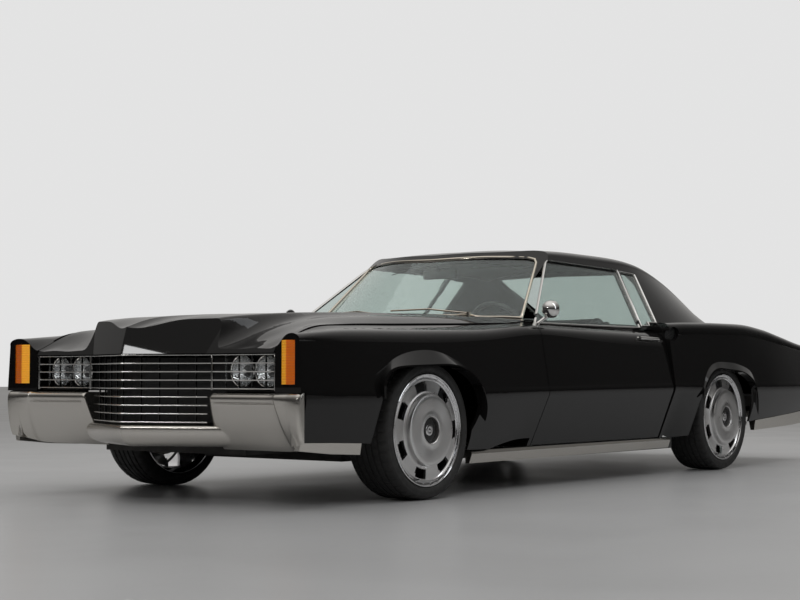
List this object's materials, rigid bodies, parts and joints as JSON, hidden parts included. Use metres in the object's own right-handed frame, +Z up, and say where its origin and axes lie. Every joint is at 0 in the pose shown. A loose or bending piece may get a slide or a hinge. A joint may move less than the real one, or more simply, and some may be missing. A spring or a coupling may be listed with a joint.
{
  "type": "luxury coupe",
  "caption": "Full-size coupe with a V-shaped egg-crate grille, long flush hood, hidden-pillar side glass, sail-panel roof, opening doors, hood and trunk lid.",
  "frame": {"origin": "on the ground under the middle of the car's bounding box", "axes": "+X to the car's left, -Y forward, +Z up"},
  "size_m": [2.024, 5.614, 1.3164],
  "materials": {
    "black_paint": "gloss",
    "satin_metal": "satin",
    "polished_metal": "polished",
    "amber_plastic": "gloss",
    "red_plastic": "gloss",
    "lamp_glass": "clear",
    "glass": "clear, faintly green",
    "wheel_metal": "polished lip, brushed centre",
    "tyre": "matte",
    "forged_iron": "matte",
    "frame_paint": "matte",
    "exhaust_metal": "dull",
    "cast_iron": "matte",
    "trim_plastic": "matte",
    "leather": "satin"
  },
  "bodies": {
    "body": {"corner_lamps": "amber_plastic", "fender_left": "black_paint", "fender_right": "black_paint", "cowl": "black_paint", "tail_lamps": "red_plastic", "quarter_left": "black_paint", "quarter_right": "black_paint", "rear_deck": "black_paint", "tail_panel": "black_paint", "roof": "black_paint", "fixed_glass": "glass", "front_suspension": "forged_iron", "rear_axle": "forged_iron", "floor_pan": "frame_paint", "frame_rails": "frame_paint", "front_bumper": "satin_metal", "lower_trims": "satin_metal", "rear_bumper": "satin_metal", "grille": "polished_metal", "headlamps": "lamp_glass", "radiator_support": "frame_paint", "engine_block": "cast_iron", "dashboard": "trim_plastic", "front_seats": "leather", "rear_seat": "leather", "fuel_tank": "frame_paint", "exhaust": "exhaust_metal", "wipers": "polished_metal"},
    "hood": {"hood": "black_paint"},
    "trunk_lid": {"trunk_lid": "black_paint"},
    "door_left": {"door_left": "black_paint", "door_glass_left": "glass", "door_hardware_left": "polished_metal"},
    "door_right": {"door_right": "black_paint", "door_glass_right": "glass", "door_hardware_right": "polished_metal"},
    "knuckle_left": {"knuckle_left": "forged_iron"},
    "knuckle_right": {"knuckle_right": "forged_iron"},
    "wheel_front_left": {"rim_front_left": "wheel_metal", "tyre_front_left": "tyre"},
    "wheel_front_right": {"rim_front_right": "wheel_metal", "tyre_front_right": "tyre"},
    "wheel_rear_left": {"rim_rear_left": "wheel_metal", "tyre_rear_left": "tyre"},
    "wheel_rear_right": {"rim_rear_right": "wheel_metal", "tyre_rear_right": "tyre"},
    "steering_wheel": {"steering_wheel": "trim_plastic"}
  },
  "joints": [
    {"name": "steer_left", "type": "hinge", "parent": "body", "child": "knuckle_left", "pos_m": [0.74, -1.7445, 0.325], "axis": [0, 0, 1], "range_deg": [-30, 30]},
    {"name": "steer_right", "type": "hinge", "parent": "body", "child": "knuckle_right", "pos_m": [-0.74, -1.7445, 0.325], "axis": [0, 0, 1], "range_deg": [-30, 30]},
    {"name": "steering_wheel_turn", "type": "hinge", "parent": "body", "child": "steering_wheel", "pos_m": [0.38, -0.3445, 0.815], "axis": [0, 0.9063, 0.4226], "range_deg": [-480, 480]},
    {"name": "wheel_front_left_spin", "type": "hinge", "parent": "knuckle_left", "child": "wheel_front_left", "pos_m": [0.818, -1.7445, 0.325], "axis": [1, 0, 0], "continuous": true},
    {"name": "wheel_front_right_spin", "type": "hinge", "parent": "knuckle_right", "child": "wheel_front_right", "pos_m": [-0.818, -1.7445, 0.325], "axis": [1, 0, 0], "continuous": true},
    {"name": "wheel_rear_left_spin", "type": "hinge", "parent": "body", "child": "wheel_rear_left", "pos_m": [0.812, 1.3035, 0.325], "axis": [1, 0, 0], "continuous": true},
    {"name": "wheel_rear_right_spin", "type": "hinge", "parent": "body", "child": "wheel_rear_right", "pos_m": [-0.812, 1.3035, 0.325], "axis": [1, 0, 0], "continuous": true},
    {"name": "hood_hinge", "type": "hinge", "parent": "body", "child": "hood", "pos_m": [0, -0.6825, 0.898], "axis": [-1, 0, 0], "range_deg": [0, 50]},
    {"name": "trunk_lid_hinge", "type": "hinge", "parent": "body", "child": "trunk_lid", "pos_m": [0, 2.02075, 0.9], "axis": [1, 0, 0], "range_deg": [0, 65]},
    {"name": "door_left_hinge", "type": "hinge", "parent": "body", "child": "door_left", "pos_m": [0.996, -0.78725, 0.5], "axis": [0, 0, -1], "range_deg": [0, 65]},
    {"name": "door_right_hinge", "type": "hinge", "parent": "body", "child": "door_right", "pos_m": [-0.996, -0.78725, 0.5], "axis": [0, 0, 1], "range_deg": [0, 65]}
  ],
  "couplings": [
    {"joint": "steer_right", "follows": "steer_left", "ratio": 1},
    {"joint": "steering_wheel_turn", "follows": "steer_left", "ratio": 16}
  ]
}
